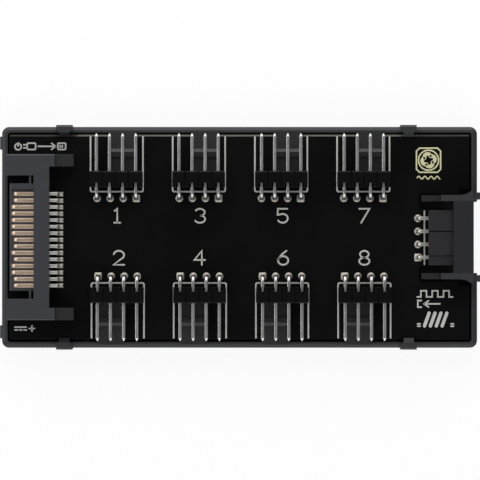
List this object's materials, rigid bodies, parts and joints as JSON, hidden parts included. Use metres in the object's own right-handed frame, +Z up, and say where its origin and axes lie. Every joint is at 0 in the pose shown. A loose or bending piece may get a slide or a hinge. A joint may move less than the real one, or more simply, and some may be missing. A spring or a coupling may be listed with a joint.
{
  "type": "pc fan hub",
  "caption": "Flat hub that powers and controls several computer fans: a circuit board with right-angle pin headers, a blade power plug and a shrouded control input in a moulded tray.",
  "frame": {"origin": "centre of the underside of the case", "axes": "+X along the hub towards the control input, +Y across it towards the odd-numbered ports, +Z up from the underside"},
  "size_m": [0.0936, 0.0436, 0.0127],
  "materials": {
    "case_plastic": "fine spark-eroded black moulding",
    "board_black": "black solder mask over glass laminate, pale bare laminate on the scored edges",
    "header_plastic": "satin black moulding",
    "socket_plastic": "satin black moulding",
    "plug_plastic": "satin dark grey moulding",
    "tin_plate": "bright tin plate over brass",
    "gold_plate": "gold-plated contact, tin-plated foot",
    "chip_epoxy": "matt black epoxy",
    "fuse_body": "green laminate with tinned end caps",
    "capacitor_body": "tan ceramic with tinned end caps",
    "resistor_body": "black glazed top with tinned end caps",
    "nickel_plate": "bright nickel plate"
  },
  "bodies": {
    "root": {"case_tray": "case_plastic", "circuit_board": "board_black", "control_header": "socket_plastic", "control_pins": "tin_plate", "power_plug": "plug_plastic", "power_contacts_long": "gold_plate", "power_contacts_short": "gold_plate", "control_chip": "chip_epoxy", "power_switches": "chip_epoxy", "fuse": "fuse_body", "capacitors": "capacitor_body", "resistors": "resistor_body", "magnets": "nickel_plate", "fan_header_1": "header_plastic", "fan_pins_1": "tin_plate", "fan_header_2": "header_plastic", "fan_pins_2": "tin_plate", "fan_header_3": "header_plastic", "fan_pins_3": "tin_plate", "fan_header_4": "header_plastic", "fan_pins_4": "tin_plate", "fan_header_5": "header_plastic", "fan_pins_5": "tin_plate", "fan_header_6": "header_plastic", "fan_pins_6": "tin_plate", "fan_header_7": "header_plastic", "fan_pins_7": "tin_plate", "fan_header_8": "header_plastic", "fan_pins_8": "tin_plate"}
  },
  "joints": []
}
